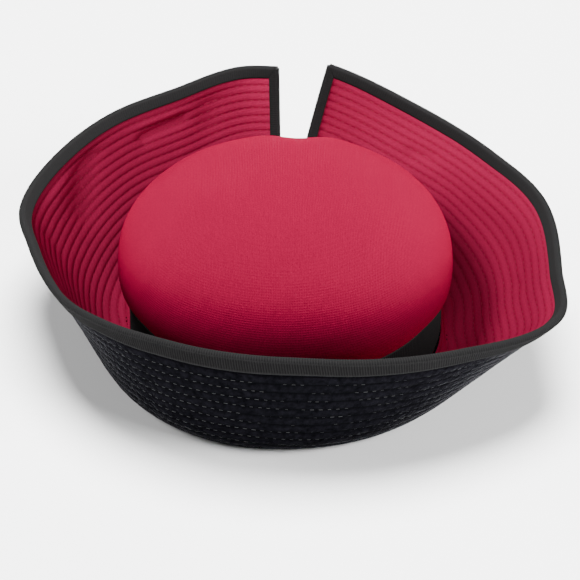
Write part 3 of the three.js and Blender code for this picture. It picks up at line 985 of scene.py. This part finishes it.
# The ribbon over one edge of the slash, the left one at turn 0 or the right one at turn 1
def build_slash_binding(edge_turn, node, material):
    inward = 1 if edge_turn == 0 else -1
    column = BrimColumns([edge_turn])
    length = column.lengths[0] - SLASH_RIBBON_END
    count = int(length / (RIB_PITCH / SAMPLES_PER_RIB))
    drops = np.linspace(0, length, count + 1)
    climb = column.climb_at(drops[None, :])[0]
    sideways = brim_point(edge_turn + inward * WIDTH_STEP, climb) - brim_point(edge_turn, climb)
    speed = np.linalg.norm(sideways, axis=-1) / WIDTH_STEP
    outward = brim_axes(edge_turn, climb)[0] * -inward
    facing = SLASH_LEG * np.clip(drops / facing_leg(edge_turn), 0, 1)
    underside = SLASH_LEG * np.clip(drops / UNDERSIDE_LEG, 0, 1)
    legs = (np.maximum(facing, LEAST_LEG), np.maximum(underside, LEAST_LEG))
    rib = rib_depth(2 * np.pi * drops / RIB_PITCH)

    def points_at(widths):
        turn = edge_turn + inward * widths / speed
        return brim_point(turn, climb), brim_axes(turn, climb)[2]

    loops, groove_shade_share = binding_loops(points_at, outward, legs, rib)
    ribbon = loops_mesh(node.replace("binding", "ribbon"), loops, False, groove_shade_share)
    place(ribbon, node, material)


# MATERIALS


def new_material(name, colour, roughness, specular):
    material = bpy.data.materials.new(name)
    material.use_nodes = True
    shader = material.node_tree.nodes["Principled BSDF"]
    shader.inputs["Base Color"].default_value = (*colour, 1)
    shader.inputs["Roughness"].default_value = roughness
    shader.inputs["Specular IOR Level"].default_value = specular
    return material, material.node_tree, shader


def plain_material(name):
    row = PLAIN_MATERIALS[name]
    return new_material(name, row["colour"], row["roughness"], row["specular"])[0]


def math_node(tree, operation, first, second=None):
    node = tree.nodes.new("ShaderNodeMath")
    node.operation = operation
    for socket, value in zip(node.inputs, (first, second)):
        if isinstance(value, (int, float)):
            socket.default_value = value
        elif value is not None:
            tree.links.new(value, socket)
    return node.outputs[0]


# Height of a plain weave: threads a fraction of a millimetre wide, over and under in turn
def weave_height(tree):
    uv = tree.nodes.new("ShaderNodeUVMap")
    uv.uv_map = "cloth"
    axes = tree.nodes.new("ShaderNodeSeparateXYZ")
    tree.links.new(uv.outputs[0], axes.inputs[0])
    angle_per_metre = math.pi / (WEAVE_PITCH * MM)
    angles = [math_node(tree, "MULTIPLY", axes.outputs[k], angle_per_metre) for k in range(2)]
    sines = [math_node(tree, "SINE", angle) for angle in angles]
    crossing = math_node(tree, "MULTIPLY", sines[0], sines[1])
    return math_node(tree, "ABSOLUTE", crossing)


def noise(tree, scale, detail):
    coordinates = tree.nodes.new("ShaderNodeTexCoord")
    texture = tree.nodes.new("ShaderNodeTexNoise")
    texture.inputs["Scale"].default_value = scale
    texture.inputs["Detail"].default_value = detail
    tree.links.new(coordinates.outputs["Object"], texture.inputs["Vector"])
    return texture.outputs[0]


def bump(tree, shader, height, distance, below=None):
    node = tree.nodes.new("ShaderNodeBump")
    node.inputs["Distance"].default_value = distance
    tree.links.new(height, node.inputs["Height"])
    if below is not None:
        tree.links.new(below, node.inputs["Normal"])
    tree.links.new(node.outputs[0], shader.inputs["Normal"])
    return node.outputs[0]


def colour_mix(tree, share, first, second):
    node = tree.nodes.new("ShaderNodeMix")
    node.data_type = "RGBA"
    for socket, value in ((node.inputs[6], first), (node.inputs[7], second)):
        if isinstance(value, tuple):
            socket.default_value = (*value, 1)
        else:
            tree.links.new(value, socket)
    tree.links.new(share, node.inputs[0])
    return node.outputs[2]


# Colour that goes unevenly from dark to light with the grain, and painted shade that darkens it in seams
# and grooves
def mottle_and_paint_groove_shade(tree, shader, row, height):
    grain = math_node(tree, "MULTIPLY_ADD", height, GRAIN_CONTRAST)
    grain.node.inputs[2].default_value = (1 - GRAIN_CONTRAST) / 2
    grain.node.use_clamp = True
    # Painted shade: the colour is mixed towards a darker one where the seam share marks a groove
    seam = tree.nodes.new("ShaderNodeAttribute")
    seam.attribute_name = "seam"
    colour = colour_mix(tree, grain, row["dark"], row["light"])
    shaded = colour_mix(tree, seam.outputs["Fac"], colour, row["painted_groove_shade"])
    tree.links.new(shaded, shader.inputs["Base Color"])


def cloth(name):
    row = CLOTHS[name]
    material, tree, shader = new_material(name, row["plain"], row["roughness"], row["specular"])
    shader.inputs["Sheen Weight"].default_value = row["sheen"]
    shader.inputs["Sheen Roughness"].default_value = row["sheen_roughness"]
    shader.inputs["Sheen Tint"].default_value = (*row["sheen_tint"], 1)
    grain = noise(tree, row["grain_scale"], row["grain_detail"])
    mottle_and_paint_groove_shade(tree, shader, row, grain)
    grained = bump(tree, shader, grain, row["grain_depth"] * MM)
    if row["weave_depth"] > 0:
        bump(tree, shader, weave_height(tree), row["weave_depth"] * MM, grained)
    return material


# SETTING


def build_floor():
    mesh = bpy.data.meshes.new("floor")
    directions = ((-1, -1), (1, -1), (1, 1), (-1, 1))
    corners = [(x * FLOOR_HALF, y * FLOOR_HALF, 0) for x, y in directions]
    mesh.from_pydata(corners, [], [(0, 1, 2, 3)])
    floor = bpy.data.objects.new("floor", mesh)
    bpy.context.scene.collection.objects.link(floor)
    mesh.materials.append(plain_material("floor_paper"))


# Soft light that points at the middle of the hat's foot and falls on its own pieces alone
def area_light(row):
    data = bpy.data.lights.new(row["name"], "AREA")
    data.shape = "DISK"
    data.size = row["size"]
    data.energy = row["power"]
    light = bpy.data.objects.new(row["name"], data)
    around = math.radians(row["around"])
    elevation = math.radians(row["elevation"])
    level = math.cos(elevation)
    outward = Vector((level * math.sin(around), -level * math.cos(around), math.sin(elevation)))
    light.location = outward * LIGHT_DISTANCE
    light.rotation_mode = "QUATERNION"
    light.rotation_quaternion = outward.to_track_quat("Z", "Y")
    bpy.context.scene.collection.objects.link(light)
    lit = bpy.data.collections.new(row["name"] + "_lights")
    for name in LIT_PIECES[row["on"]]:
        lit.objects.link(bpy.data.objects[name])
    light.light_linking.receiver_collection = lit


def build_setting():
    build_floor()
    world = bpy.data.worlds.new("soft_white")
    world.use_nodes = True
    background = world.node_tree.nodes["Background"]
    background.inputs["Color"].default_value = (1, 1, 1, 1)
    background.inputs["Strength"].default_value = WORLD_STRENGTH
    bpy.context.scene.world = world
    for row in LIGHTS:
        area_light(row)


def build_camera():
    lift = math.radians(CAMERA_ELEVATION)
    target = Vector((*crown_axis(), 0)) + Vector(CAMERA_TARGET) * MM
    back = Vector((0, -math.cos(lift), math.sin(lift)))
    data = bpy.data.cameras.new("camera")
    data.sensor_width = CAMERA_SENSOR
    data.lens = CAMERA_LENS
    data.clip_start, data.clip_end = CAMERA_CLIP
    camera = bpy.data.objects.new("camera", data)
    camera.location = target + back * (CAMERA_DISTANCE * MM)
    camera.rotation_mode = "QUATERNION"
    camera.rotation_quaternion = (-back).to_track_quat("-Z", "Y")
    bpy.context.scene.collection.objects.link(camera)
    bpy.context.scene.camera = camera


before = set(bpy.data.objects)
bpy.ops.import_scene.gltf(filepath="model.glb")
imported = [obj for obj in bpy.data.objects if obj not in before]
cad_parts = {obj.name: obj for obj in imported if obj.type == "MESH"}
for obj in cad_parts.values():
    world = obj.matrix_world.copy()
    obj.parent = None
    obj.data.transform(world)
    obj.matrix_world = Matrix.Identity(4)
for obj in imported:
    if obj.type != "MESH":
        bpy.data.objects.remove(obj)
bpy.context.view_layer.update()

crown_pink = cloth("crown_cloth")
brim_pink = cloth("brim_cloth")
velvet = cloth("black_velvet")
ribbon = cloth("black_ribbon")
pink_thread = plain_material("raspberry_thread")
grey_thread = plain_material("grey_thread")

build_crown(crown_pink)
build_band(ribbon)
grid = brim_grid()
build_brim_side("brim_facing_cloth", grid, "facing", "brim_facing", brim_pink)
build_brim_side("brim_velvet", grid, "underside", "brim_underside", velvet)
build_stitches(grid, "facing", "brim_facing", pink_thread)
build_stitches(grid, "underside", "brim_underside", grey_thread)
build_rim_binding(ribbon)
build_slash_binding(0, "notch_binding_left", ribbon)
build_slash_binding(1, "notch_binding_right", ribbon)

build_setting()
build_camera()
